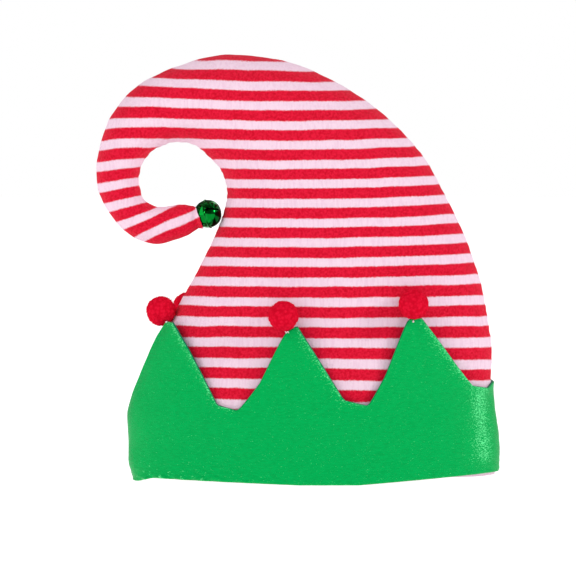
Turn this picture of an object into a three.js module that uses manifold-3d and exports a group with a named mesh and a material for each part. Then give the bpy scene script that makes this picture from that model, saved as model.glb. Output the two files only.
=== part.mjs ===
import * as THREE from "three";
import { mergeVertices } from "three/addons/utils/BufferGeometryUtils.js";
import Module from "manifold-3d";

const wasm = await Module();
wasm.setup();

// Millimetres. X points right, Y to the far side and Z up; the hem stands on z = 0.
const HEM_WIDTH = 290;
const HEM_DEPTH = 90;
const HAT_HEIGHT = 334;
const CROWN_WALL = 3;
const CUFF_WALL = 2.5;
const CUFF_CLEARANCE = 1.3;
const POINT_FLARE = 4.5;
const POMPOM_DIAMETER = 24.5;
const TUFT_DEPTH = 0.9;
const BELL_DIAMETER = 22;
const BELL_LENGTH = 19;
const BELL_WALL = 0.8;
const BELL_SLIT = 1.5;
const PELLET_DIAMETER = 6;
const PIECE_GAP = 0.4;

// The crown is a little narrower than the hem, so that the cuff fits round it.
const CUFF_OFFSET = CUFF_CLEARANCE + CUFF_WALL;
const CROWN_WIDTH = HEM_WIDTH - 2 * CUFF_OFFSET;
const CROWN_DEPTH = HEM_DEPTH - 2 * CUFF_OFFSET;

// Cross sections of the crown from the mouth to the tip. The inner side is the left contour, which
// becomes the inside of the curl. Places and depths are shares of the crown's width, the hat's
// height and the crown's depth.
const SECTIONS = [
  { innerX: -0.5, innerZ: 0, outerX: 0.5, outerZ: 0, depth: 1 },
  { innerX: -0.5, innerZ: 0.085, outerX: 0.5, outerZ: 0.085, depth: 1.02 },
  { innerX: -0.503, innerZ: 0.166, outerX: 0.492, outerZ: 0.166, depth: 1.04 },
  { innerX: -0.462, innerZ: 0.274, outerX: 0.489, outerZ: 0.274, depth: 1.05 },
  { innerX: -0.393, innerZ: 0.38, outerX: 0.481, outerZ: 0.38, depth: 1.05 },
  { innerX: -0.334, innerZ: 0.474, outerX: 0.455, outerZ: 0.479, depth: 1.03 },
  { innerX: -0.284, innerZ: 0.56, outerX: 0.42, outerZ: 0.572, depth: 1 },
  { innerX: -0.248, innerZ: 0.633, outerX: 0.364, outerZ: 0.673, depth: 0.95 },
  { innerX: -0.239, innerZ: 0.685, outerX: 0.301, outerZ: 0.767, depth: 0.9 },
  { innerX: -0.257, innerZ: 0.736, outerX: 0.203, outerZ: 0.853, depth: 0.84 },
  { innerX: -0.292, innerZ: 0.771, outerX: 0.088, outerZ: 0.922, depth: 0.78 },
  { innerX: -0.328, innerZ: 0.787, outerX: -0.036, outerZ: 0.973, depth: 0.72 },
  { innerX: -0.364, innerZ: 0.795, outerX: -0.155, outerZ: 0.997, depth: 0.67 },
  { innerX: -0.397, innerZ: 0.794, outerX: -0.287, outerZ: 0.999, depth: 0.62 },
  { innerX: -0.427, innerZ: 0.785, outerX: -0.411, outerZ: 0.967, depth: 0.57 },
  { innerX: -0.458, innerZ: 0.769, outerX: -0.505, outerZ: 0.917, depth: 0.52 },
  { innerX: -0.479, innerZ: 0.741, outerX: -0.574, outerZ: 0.835, depth: 0.47 },
  { innerX: -0.486, innerZ: 0.706, outerX: -0.601, outerZ: 0.743, depth: 0.42 },
  { innerX: -0.475, innerZ: 0.668, outerX: -0.59, outerZ: 0.668, depth: 0.39 },
  { innerX: -0.444, innerZ: 0.647, outerX: -0.523, outerZ: 0.592, depth: 0.36 },
  { innerX: -0.397, innerZ: 0.645, outerX: -0.433, outerZ: 0.5575, depth: 0.33 },
  { innerX: -0.355, innerZ: 0.648, outerX: -0.36, outerZ: 0.573, depth: 0.28 },
  { innerX: -0.325, innerZ: 0.641, outerX: -0.314, outerZ: 0.597, depth: 0.17 },
];
const ROWS_PER_SECTION = 2;
const CROWN_COLUMNS = 40;
const LAST_SECTION = SECTIONS.length - 1;
// The hollow ends at this section and the limb beyond is bent to reach the bell.
const HOLLOW_END_SECTION = 12;
const LIMB_BEND_SECTION = 18;

// The cuff's edge, round the hat from the left seam over the near side. Foot and edge are shares of
// a full turn at the hem and at the edge, height is a share of the hat's height.
const CUFF_STOPS = [
  { foot: 0, edge: 0, height: 0.172 },
  { foot: 0.104, edge: 0.037, height: 0.378 },
  { foot: 0.112, edge: 0.056, height: 0.376 },
  { foot: 0.178, edge: 0.181, height: 0.174 },
  { foot: 0.23, edge: 0.213, height: 0.371 },
  { foot: 0.237, edge: 0.219, height: 0.373 },
  { foot: 0.288, edge: 0.294, height: 0.184 },
  { foot: 0.337, edge: 0.334, height: 0.388 },
  { foot: 0.348, edge: 0.344, height: 0.388 },
  { foot: 0.43, edge: 0.44, height: 0.222 },
  { foot: 0.5, edge: 0.5, height: 0.234 },
  { foot: 0.598, edge: 0.603, height: 0.378 },
  { foot: 0.662, edge: 0.664, height: 0.19 },
  { foot: 0.726, edge: 0.738, height: 0.38 },
  { foot: 0.812, edge: 0.812, height: 0.178 },
  { foot: 0.861, edge: 0.902, height: 0.375 },
  { foot: 1, edge: 1, height: 0.172 },
];
// The curve of one flank from its valley to its tip.
const FLANK = [
  { along: 0, up: 0 },
  { along: 0.13, up: 0.04 },
  { along: 0.26, up: 0.14 },
  { along: 0.39, up: 0.28 },
  { along: 0.52, up: 0.44 },
  { along: 0.64, up: 0.6 },
  { along: 0.76, up: 0.78 },
  { along: 0.88, up: 0.95 },
  { along: 1, up: 1 },
];
const COLUMNS_PER_TURN = 104;
const FEWEST_FLANK_COLUMNS = 2;
const CUFF_ROWS = 4;

// Each ball touches the crown at this share of a turn and this share of the hat's height.
const POMPOMS = [
  { turn: 0.0105, height: 0.388 },
  { turn: 0.2018, height: 0.4 },
  { turn: 0.3357, height: 0.424 },
  { turn: 0.598, height: 0.411 },
  { turn: 0.746, height: 0.412 },
  { turn: 0.9217, height: 0.4 },
];

// The hem is level in the middle and lifts a little towards both ends.
const HEM_LEVEL_SHARE = 0.48;
const HEM_LIFT_LEFT = 3;
const HEM_LIFT_RIGHT = 7;
const HEM_LIFT_REACH = 90;

// The bell hangs beside the left contour and faces right, up and to the near side.
const BELL_HEIGHT_SHARE = 0.628;
const BELL_BODY_GAP = 3.2;
const BELL_RISE = THREE.MathUtils.degToRad(21);
const BELL_TURN = THREE.MathUtils.degToRad(30);
const BELL_RIDGE = 0.7;
const BELL_SEGMENTS = 20;
const BELL_STEPS = 5;
const SEAT_STEPS = 3;
const LOOP_RADIUS = 1.8;
const LOOP_WIRE = 0.6;

const COLOURS = {
  crown: { color: 0xe21b38, roughness: 0.95, metalness: 0 },
  cuff: { color: 0x04b057, roughness: 0.8, metalness: 0 },
  pompom: { color: 0xd6132c, roughness: 1, metalness: 0 },
  bell: { color: 0x0b7a2e, roughness: 0.25, metalness: 1 },
  bell_pellet: { color: 0x8a8d90, roughness: 0.4, metalness: 1 },
};

// Collects points and faces of one closed form.
class Surface {
  constructor() {
    this.points = [];
    this.faces = [];
  }

  addPoint(point) {
    this.points.push(point.x, point.y, point.z);
    return this.points.length / 3 - 1;
  }

  addRing(points) {
    return points.map((point) => this.addPoint(point));
  }

  // Joins two rings of the same count; the face looks out when the second is the upper one.
  bridge(lower, upper) {
    for (let i = 0; i < lower.length; i += 1) {
      const next = (i + 1) % lower.length;
      this.faces.push(lower[i], lower[next], upper[next]);
      this.faces.push(lower[i], upper[next], upper[i]);
    }
  }

  close(ring, point) {
    const pole = this.addPoint(point);
    for (let i = 0; i < ring.length; i += 1) {
      this.faces.push(ring[i], ring[(i + 1) % ring.length], pole);
    }
  }

  closeTurned(ring, point) {
    this.close([...ring].reverse(), point);
  }

  geometry() {
    const geometry = new THREE.BufferGeometry();
    geometry.setAttribute("position", new THREE.Float32BufferAttribute(this.points, 3));
    geometry.setIndex(this.faces);
    return geometry;
  }
}

function toManifold(geometry) {
  const bare = geometry.clone();
  bare.deleteAttribute("normal");
  bare.deleteAttribute("uv");
  const merged = mergeVertices(bare, 1e-4);
  return new wasm.Manifold(
    new wasm.Mesh({
      numProp: 3,
      vertProperties: new Float32Array(merged.attributes.position.array),
      triVerts: new Uint32Array(merged.index.array),
    }),
  );
}

function fromManifold(solid) {
  const mesh = solid.getMesh();
  const geometry = new THREE.BufferGeometry();
  geometry.setAttribute("position", new THREE.BufferAttribute(mesh.vertProperties, 3));
  geometry.setIndex(new THREE.BufferAttribute(mesh.triVerts, 1));
  return geometry;
}

const contourPoint = (x, z, depth) =>
  new THREE.Vector3(x * CROWN_WIDTH, depth * CROWN_DEPTH, z * HAT_HEIGHT);
const innerContour = new THREE.CatmullRomCurve3(
  SECTIONS.map((row) => contourPoint(row.innerX, row.innerZ, row.depth)),
);
const outerContour = new THREE.CatmullRomCurve3(
  SECTIONS.map((row) => contourPoint(row.outerX, row.outerZ, row.depth)),
);

function hemLift(point) {
  const halfWidth = HEM_WIDTH / 2;
  const share = THREE.MathUtils.smoothstep(Math.abs(point.x) / halfWidth, HEM_LEVEL_SHARE, 1);
  const most = point.x < 0 ? HEM_LIFT_LEFT : HEM_LIFT_RIGHT;
  return most * share * Math.max(0, 1 - point.z / HEM_LIFT_REACH);
}

// One cross section: its centre, its direction from the inner to the outer side and half sizes.
function plainSection(row) {
  const share = row / LAST_SECTION;
  const inner = innerContour.getPoint(share);
  const outer = outerContour.getPoint(share);
  const halfDepth = inner.y / 2;
  inner.y = 0;
  outer.y = 0;
  return {
    centre: inner.clone().add(outer).multiplyScalar(0.5),
    across: outer.clone().sub(inner).normalize(),
    halfWidth: inner.distanceTo(outer) / 2,
    halfDepth,
  };
}

// A point on a section, moved out along the section's own normal. The turn starts at the inner
// side and runs over the near side to the outer side.
function sectionPoint(section, turn, offset) {
  const angle = turn * 2 * Math.PI;
  const cos = Math.cos(angle);
  const sin = Math.sin(angle);
  const normal = new THREE.Vector2(-cos * section.halfDepth, -sin * section.halfWidth).normalize();
  const acrossBy = -cos * section.halfWidth + normal.x * offset;
  const point = section.centre.clone().addScaledVector(section.across, acrossBy);
  point.y += -sin * section.halfDepth + normal.y * offset;
  return point;
}

function rowAtHeight(turn, height) {
  let low = 0;
  let high = LIMB_BEND_SECTION / 2;
  for (let step = 0; step < 30; step += 1) {
    const middle = (low + high) / 2;
    if (sectionPoint(plainSection(middle), turn, 0).z < height) {
      low = middle;
    } else {
      high = middle;
    }
  }
  return low;
}

function bodyPoint(turn, height, offset) {
  return sectionPoint(plainSection(rowAtHeight(turn, height)), turn, offset);
}

function bodyNormal(turn, height) {
  const turnStep = 0.002;
  const round = bodyPoint(turn + turnStep, height, 0).sub(bodyPoint(turn - turnStep, height, 0));
  const upward = bodyPoint(turn, height + 1, 0).sub(bodyPoint(turn, height - 1, 0));
  return round.cross(upward).normalize();
}

const bellAxis = new THREE.Vector3(
  Math.cos(BELL_TURN) * Math.cos(BELL_RISE),
  -Math.sin(BELL_TURN),
  Math.cos(BELL_TURN) * Math.sin(BELL_RISE),
);
const bellRadius = BELL_DIAMETER / 2;
const bellHalfLength = BELL_LENGTH / 2;
const bellReach = Math.hypot(bellHalfLength * bellAxis.x, bellRadius * Math.sqrt(1 - bellAxis.x ** 2));
const bellHeight = BELL_HEIGHT_SHARE * HAT_HEIGHT;
const seatDistance = bellHalfLength + PIECE_GAP;
const bellCentre = new THREE.Vector3(
  bodyPoint(0, bellHeight, 0).x - BELL_BODY_GAP - bellReach,
  seatDistance * bellAxis.y,
  bellHeight,
);
const tipPlace = bellCentre.clone().addScaledVector(bellAxis, -seatDistance);
const tipShift = tipPlace.sub(plainSection(LAST_SECTION).centre);

// The limb's last sections move with the bell's seat.
function crownSection(row) {
  const section = plainSection(row);
  const bend = THREE.MathUtils.smoothstep(row, LIMB_BEND_SECTION, LAST_SECTION);
  section.centre.addScaledVector(tipShift, bend);
  return section;
}

function crownRing(section, offset) {
  const points = [];
  for (let column = 0; column < CROWN_COLUMNS; column += 1) {
    const point = sectionPoint(section, column / CROWN_COLUMNS, offset);
    point.z += hemLift(point);
    points.push(point);
  }
  return points;
}

function shrunkRing(section, offset, scale, forward) {
  const smaller = {
    centre: section.centre.clone().add(forward),
    across: section.across,
    halfWidth: section.halfWidth * scale,
    halfDepth: section.halfDepth * scale,
  };
  return crownRing(smaller, offset * scale);
}

function alongLimb(row) {
  return crownSection(row).centre.sub(crownSection(row - 0.1).centre).normalize();
}

function crownGeometry() {
  const surface = new Surface();
  const outside = [];
  for (let step = 0; step <= LAST_SECTION * ROWS_PER_SECTION; step += 1) {
    outside.push(surface.addRing(crownRing(crownSection(step / ROWS_PER_SECTION), 0)));
  }
  for (let i = 1; i < outside.length; i += 1) {
    surface.bridge(outside[i - 1], outside[i]);
  }
  const tip = crownSection(LAST_SECTION);
  const tipForward = alongLimb(LAST_SECTION);
  const roundRing = surface.addRing(shrunkRing(tip, 0, 0.7, tipForward.clone().multiplyScalar(1.2)));
  surface.bridge(outside[outside.length - 1], roundRing);
  surface.close(roundRing, tip.centre.clone().addScaledVector(tipForward, 1.8));

  const inside = [];
  for (let row = 0; row <= HOLLOW_END_SECTION; row += 1) {
    inside.push(surface.addRing(crownRing(crownSection(row), -CROWN_WALL)));
  }
  surface.bridge(inside[0], outside[0]);
  for (let i = 1; i < inside.length; i += 1) {
    surface.bridge(inside[i], inside[i - 1]);
  }
  const end = crownSection(HOLLOW_END_SECTION);
  const endForward = alongLimb(HOLLOW_END_SECTION);
  const endRing = surface.addRing(
    shrunkRing(end, -CROWN_WALL, 0.6, endForward.clone().multiplyScalar(9)),
  );
  surface.bridge(endRing, inside[inside.length - 1]);
  surface.closeTurned(endRing, end.centre.clone().addScaledVector(endForward, 12));
  return surface.geometry();
}

function flankRise(share) {
  const index = Math.max(1, FLANK.findIndex((stop) => stop.along >= share));
  const from = FLANK[index - 1];
  const to = FLANK[index];
  return THREE.MathUtils.mapLinear(share, from.along, to.along, from.up, to.up);
}

// Steps evenly across the hat's width between two turns on the same side of it.
function turnBetween(from, to, share) {
  const across = (turn) => Math.cos(turn * 2 * Math.PI);
  const angle = Math.acos(THREE.MathUtils.lerp(across(from), across(to), share)) / (2 * Math.PI);
  return from < 0.5 ? angle : 1 - angle;
}

// Every column of the cuff: where it starts at the hem, where it ends and how high.
function cuffColumns() {
  const columns = [];
  for (let i = 1; i < CUFF_STOPS.length; i += 1) {
    const from = CUFF_STOPS[i - 1];
    const to = CUFF_STOPS[i];
    const wanted = Math.round((to.foot - from.foot) * COLUMNS_PER_TURN);
    const count = Math.max(FEWEST_FLANK_COLUMNS, wanted);
    for (let step = 0; step < count; step += 1) {
      const share = step / count;
      const rise = to.height > from.height ? flankRise(share) : 1 - flankRise(1 - share);
      columns.push({
        foot: THREE.MathUtils.lerp(from.foot, to.foot, share),
        edge: turnBetween(from.edge, to.edge, share),
        height: THREE.MathUtils.lerp(from.height, to.height, rise) * HAT_HEIGHT,
      });
    }
  }
  return columns;
}

function cuffPoint(column, share, offset, extraHeight) {
  const height = (column.height + extraHeight) * share;
  const turn = THREE.MathUtils.lerp(column.foot, column.edge, share);
  const lowest = CUFF_STOPS[0].height * HAT_HEIGHT;
  const pointShare = Math.max(0, height / lowest - 1);
  const point = bodyPoint(turn, height, offset + POINT_FLARE * Math.min(1, pointShare) ** 2);
  point.z += hemLift(point);
  return point;
}

// The cuff as a band between two offsets from the crown. A grown band clears room around it.
function cuffGeometry(grow) {
  const columns = cuffColumns();
  const surface = new Surface();
  const ring = (share, offset) =>
    surface.addRing(columns.map((column) => cuffPoint(column, share, offset, grow)));
  const outside = [];
  const inside = [];
  for (let row = 0; row <= CUFF_ROWS; row += 1) {
    outside.push(ring(row / CUFF_ROWS, CUFF_OFFSET + grow));
    inside.push(ring(row / CUFF_ROWS, CUFF_CLEARANCE - grow));
  }
  for (let row = 1; row <= CUFF_ROWS; row += 1) {
    surface.bridge(outside[row - 1], outside[row]);
    surface.bridge(inside[row], inside[row - 1]);
  }
  surface.bridge(inside[0], outside[0]);
  surface.bridge(outside[CUFF_ROWS], inside[CUFF_ROWS]);
  return surface.geometry();
}

// A ball of tufts: each face of the ball is pressed in at its middle.
function tuftedBall() {
  const radius = POMPOM_DIAMETER / 2;
  const ball = new THREE.IcosahedronGeometry(radius, 2);
  const corners = ball.attributes.position;
  const surface = new Surface();
  for (let i = 0; i < corners.count; i += 3) {
    const face = [0, 1, 2].map((step) => new THREE.Vector3().fromBufferAttribute(corners, i + step));
    const middle = face[0].clone().add(face[1]).add(face[2]).setLength(radius - TUFT_DEPTH);
    surface.close(surface.addRing(face), middle);
  }
  return surface.geometry();
}

function pompomGeometry(place, grownCuff) {
  const height = place.height * HAT_HEIGHT;
  const centre = bodyPoint(place.turn, height, 0);
  centre.addScaledVector(bodyNormal(place.turn, height), POMPOM_DIAMETER / 2 + PIECE_GAP);
  const ball = tuftedBall().translate(centre.x, centre.y, centre.z);
  return fromManifold(toManifold(ball).subtract(grownCuff));
}

// Half of the bell's outline from its back pole to its front pole, grown or shrunk by an offset.
function bellOutline(offset, ridge, steps) {
  const shellRadius = bellRadius - BELL_RIDGE;
  const outline = [];
  for (let step = 0; step <= 2 * steps; step += 1) {
    const angle = (-Math.PI / 2) * (1 - step / steps);
    const radius = (shellRadius + offset) * Math.cos(angle) ** 0.85;
    const along = (bellHalfLength + offset) * Math.sin(angle);
    if (step === steps && ridge) {
      outline.push(new THREE.Vector2(shellRadius + offset, -BELL_RIDGE));
      outline.push(new THREE.Vector2(bellRadius + offset, -BELL_RIDGE / 2));
      outline.push(new THREE.Vector2(bellRadius + offset, BELL_RIDGE / 2));
      outline.push(new THREE.Vector2(shellRadius + offset, BELL_RIDGE));
    } else {
      outline.push(new THREE.Vector2(Math.max(0, radius), along));
    }
  }
  return outline;
}

function latheSolid(outline) {
  const surface = new Surface();
  const rings = outline.slice(1, -1).map((corner) => {
    const points = [];
    for (let i = 0; i < BELL_SEGMENTS; i += 1) {
      const angle = (2 * Math.PI * i) / BELL_SEGMENTS;
      points.push(
        new THREE.Vector3(corner.x * Math.cos(angle), corner.x * Math.sin(angle), corner.y),
      );
    }
    return surface.addRing(points);
  });
  for (let i = 1; i < rings.length; i += 1) {
    surface.bridge(rings[i - 1], rings[i]);
  }
  surface.close(rings[rings.length - 1], new THREE.Vector3(0, 0, outline[outline.length - 1].y));
  surface.closeTurned(rings[0], new THREE.Vector3(0, 0, outline[0].y));
  return toManifold(surface.geometry());
}

// Turns the bell's own frame, with its axis along Z, into the hat's.
function placeBell(geometry) {
  const turn = new THREE.Quaternion().setFromUnitVectors(new THREE.Vector3(0, 0, 1), bellAxis);
  return geometry.applyQuaternion(turn).translate(bellCentre.x, bellCentre.y, bellCentre.z);
}

function bellGeometry() {
  const slitStart = BELL_RIDGE + 1.4;
  const slitLength = bellHalfLength + 1 - slitStart;
  const slitMiddle = slitStart + slitLength / 2;
  const hollow = latheSolid(bellOutline(-BELL_WALL, false, BELL_STEPS));
  let shell = latheSolid(bellOutline(0, true, BELL_STEPS)).subtract(hollow);
  for (const quarter of [0, 1]) {
    const slit = new THREE.BoxGeometry(BELL_DIAMETER + 2, BELL_SLIT, slitLength);
    const ends = new THREE.CylinderGeometry(BELL_SLIT, BELL_SLIT, BELL_DIAMETER + 2, 8);
    slit.translate(0, 0, slitMiddle).rotateZ((quarter * Math.PI) / 2);
    ends.rotateZ(Math.PI / 2).translate(0, 0, slitStart + BELL_SLIT / 2).rotateZ((quarter * Math.PI) / 2);
    shell = shell.subtract(toManifold(slit)).subtract(toManifold(ends));
  }
  const loop = new THREE.TorusGeometry(LOOP_RADIUS, LOOP_WIRE, 6, 12);
  loop.rotateX(Math.PI / 2).translate(0, 0, -bellHalfLength - LOOP_RADIUS + LOOP_WIRE);
  shell = shell.add(toManifold(loop).subtract(hollow));
  return placeBell(fromManifold(shell));
}

// The dent that the bell's back and its loop press into the tip.
function bellSeat() {
  const room = latheSolid(bellOutline(2 * PIECE_GAP, true, SEAT_STEPS));
  const pocketRadius = LOOP_RADIUS + LOOP_WIRE + PIECE_GAP;
  const pocket = new THREE.SphereGeometry(pocketRadius, 10, 6);
  pocket.translate(0, 0, -bellHalfLength - LOOP_RADIUS + LOOP_WIRE);
  return toManifold(placeBell(fromManifold(room.add(toManifold(pocket)))));
}

function pelletGeometry() {
  const radius = PELLET_DIAMETER / 2;
  const innerRadius = bellRadius - BELL_RIDGE - BELL_WALL;
  const innerHalf = bellHalfLength - BELL_WALL;
  const downward = 1 / Math.hypot(bellAxis.z / innerHalf, Math.sqrt(1 - bellAxis.z ** 2) / innerRadius);
  const ball = new THREE.IcosahedronGeometry(radius, 1);
  return ball.translate(bellCentre.x, bellCentre.y, bellCentre.z - downward + radius + PIECE_GAP);
}

function toMesh(name, geometry, finish) {
  const bare = geometry.clone();
  bare.deleteAttribute("normal");
  bare.deleteAttribute("uv");
  const merged = mergeVertices(bare, 1e-3);
  merged.computeVertexNormals();
  const mesh = new THREE.Mesh(merged, new THREE.MeshStandardMaterial(finish));
  mesh.name = name;
  return mesh;
}

function buildHat() {
  const hat = new THREE.Group();
  hat.name = "elf_hat";
  const crown = toManifold(crownGeometry()).subtract(bellSeat());
  hat.add(toMesh("crown", fromManifold(crown), COLOURS.crown));
  hat.add(toMesh("cuff", cuffGeometry(0), COLOURS.cuff));
  const grownCuff = toManifold(cuffGeometry(PIECE_GAP));
  POMPOMS.forEach((place, index) => {
    hat.add(toMesh(`pompom_${index + 1}`, pompomGeometry(place, grownCuff), COLOURS.pompom));
  });
  hat.add(toMesh("bell", bellGeometry(), COLOURS.bell));
  hat.add(toMesh("bell_pellet", pelletGeometry(), COLOURS.bell_pellet));

  const box = new THREE.Box3().setFromObject(hat);
  const centre = box.getCenter(new THREE.Vector3());
  for (const mesh of hat.children) {
    mesh.geometry.translate(-centre.x, -centre.y, -box.min.z);
  }
  return hat;
}

export default buildHat();
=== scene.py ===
"""Dresses the elf hat: striped plush crown, velour cuff of points, pompoms and a jingle bell."""

from __future__ import annotations

import logging
import math
import random
from bisect import bisect_left
from collections.abc import Callable
from dataclasses import dataclass, field
from enum import Enum

import bmesh
import bpy
from mathutils import Matrix, Vector, noise

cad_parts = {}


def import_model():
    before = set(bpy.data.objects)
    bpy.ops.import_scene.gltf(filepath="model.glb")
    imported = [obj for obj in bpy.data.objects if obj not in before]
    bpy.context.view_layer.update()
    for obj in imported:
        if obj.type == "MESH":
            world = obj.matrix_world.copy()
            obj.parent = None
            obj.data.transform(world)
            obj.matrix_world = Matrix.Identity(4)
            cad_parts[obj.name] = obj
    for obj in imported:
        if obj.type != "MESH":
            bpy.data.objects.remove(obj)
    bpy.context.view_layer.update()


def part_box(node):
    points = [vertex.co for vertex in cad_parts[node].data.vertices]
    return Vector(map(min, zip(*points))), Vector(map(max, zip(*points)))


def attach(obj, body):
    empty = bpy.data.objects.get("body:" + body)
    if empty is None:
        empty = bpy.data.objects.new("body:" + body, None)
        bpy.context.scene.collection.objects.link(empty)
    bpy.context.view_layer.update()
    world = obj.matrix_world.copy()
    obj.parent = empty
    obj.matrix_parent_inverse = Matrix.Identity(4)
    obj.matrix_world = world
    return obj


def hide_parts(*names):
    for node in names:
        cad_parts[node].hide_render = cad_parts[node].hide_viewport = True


LOG = logging.getLogger("elf_hat")
MM = 0.001
FULL_TURN = 2 * math.pi
CORNER_ANGLE = math.radians(50)
CREASE_ANGLE = math.radians(40)


class Slot(Enum):
    """The record's material slots."""

    PLUSH = "striped_plush"
    VELOUR = "green_velour"
    YARN = "red_yarn"
    BELL = "green_bell"
    STEEL = "steel"


def smooth(value: float, low: float, high: float) -> float:
    """Eases from 0 at low to 1 at high.

    Args:
        value: The number to ease.
        low: Where the ease starts.
        high: Where it ends.

    Returns:
        A number from 0 to 1.
    """
    share = min(1.0, max(0.0, (value - low) / (high - low)))
    return share * share * (3 - 2 * share)


def blend(start: float, end: float, share: float) -> float:
    """Returns the number that lies at this share of the way from start to end."""
    return start + (end - start) * share


def paint(red: int, green: int, blue: int) -> tuple[float, float, float, float]:
    """Turns a screen colour into the linear one that shaders use.

    Args:
        red: Red from 0 to 255.
        green: Green from 0 to 255.
        blue: Blue from 0 to 255.

    Returns:
        The linear colour with an alpha of 1.
    """
    parts = []
    for level in (red, green, blue):
        share = level / 255
        parts.append(share / 12.92 if share <= 0.04045 else ((share + 0.055) / 1.055) ** 2.4)
    return parts[0], parts[1], parts[2], 1.0


class Shader:
    """A material under construction, with short calls for the nodes that the finishes use."""

    def __init__(self, name: str) -> None:
        """Starts a material of this name."""
        self.material = bpy.data.materials.new(name)
        self.material.use_nodes = True
        self.nodes = self.material.node_tree.nodes
        self.links = self.material.node_tree.links
        self.surface = self.nodes["Principled BSDF"]
        self.place = self.nodes.new("ShaderNodeTexCoord").outputs["Object"]

    def feed(self, socket: bpy.types.NodeSocket, value: object) -> None:
        """Gives a socket a number, a colour or another node's output."""
        if isinstance(value, bpy.types.NodeSocket):
            self.links.new(value, socket)
        else:
            socket.default_value = value

    def attribute(self, name: str) -> bpy.types.NodeSocket:
        """Reads a number that the mesh holds at each point."""
        node = self.nodes.new("ShaderNodeAttribute")
        node.attribute_name = name
        return node.outputs["Fac"]

    def stretched(self, scale: tuple[float, float, float]) -> bpy.types.NodeSocket:
        """Returns the piece's own coordinates with each axis scaled."""
        node = self.nodes.new("ShaderNodeMapping")
        self.feed(node.inputs["Vector"], self.place)
        node.inputs["Scale"].default_value = scale
        return node.outputs["Vector"]

    def grain(
        self,
        scale: float,
        detail: float = 2.0,
        place: bpy.types.NodeSocket | None = None,
        roughness: float = 0.5,
    ) -> bpy.types.NodeSocket:
        """Makes soft noise.

        Args:
            scale: Features per metre.
            detail: How many finer layers are added.
            place: Coordinates other than the piece's own.
            roughness: How strong the finer layers are.

        Returns:
            The noise, around 0.5.
        """
        node = self.nodes.new("ShaderNodeTexNoise")
        self.feed(node.inputs["Vector"], place if place else self.place)
        node.inputs["Scale"].default_value = scale
        node.inputs["Detail"].default_value = detail
        node.inputs["Roughness"].default_value = roughness
        return node.outputs["Fac"]

    def sum_of(self, kind: str, first: object, second: object = 0.0) -> bpy.types.NodeSocket:
        """Works out one step of arithmetic.

        Args:
            kind: The name of the operation.
            first: Its first number or output.
            second: Its second number or output.

        Returns:
            The result.
        """
        node = self.nodes.new("ShaderNodeMath")
        node.operation = kind
        self.feed(node.inputs[0], first)
        self.feed(node.inputs[1], second)
        return node.outputs[0]

    def ease(
        self,
        value: object,
        low: float,
        high: float,
        start: float = 0,
        end: float = 1,
    ) -> bpy.types.NodeSocket:
        """Eases a value from start at low to end at high."""
        node = self.nodes.new("ShaderNodeMapRange")
        node.interpolation_type = "SMOOTHSTEP"
        self.feed(node.inputs["Value"], value)
        node.inputs["From Min"].default_value = low
        node.inputs["From Max"].default_value = high
        node.inputs["To Min"].default_value = start
        node.inputs["To Max"].default_value = end
        return node.outputs["Result"]

    def mixed(self, share: object, first: object, second: object) -> bpy.types.NodeSocket:
        """Mixes two colours by a share."""
        node = self.nodes.new("ShaderNodeMix")
        node.data_type = "RGBA"
        self.feed(node.inputs["Factor"], share)
        self.feed(node.inputs["A"], first)
        self.feed(node.inputs["B"], second)
        return node.outputs["Result"]

    def relief(
        self,
        height: bpy.types.NodeSocket,
        depth: float,
        under: bpy.types.NodeSocket | None = None,
    ) -> bpy.types.NodeSocket:
        """Turns a height into a bumped normal.

        Args:
            height: The height, from 0 to 1.
            depth: The real depth of the relief in metres.
            under: A normal that this relief lies on.

        Returns:
            The bumped normal.
        """
        node = self.nodes.new("ShaderNodeBump")
        node.inputs["Strength"].default_value = 1.0
        node.inputs["Distance"].default_value = depth
        self.feed(node.inputs["Height"], height)
        if under:
            self.feed(node.inputs["Normal"], under)
        return node.outputs["Normal"]

    def finish(self, **sockets: object) -> bpy.types.Material:
        """Sets the surface's sockets by name, with _ for a space, and returns the material."""
        for name, value in sockets.items():
            self.feed(self.surface.inputs[name.replace("_", " ")], value)
        return self.material


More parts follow.
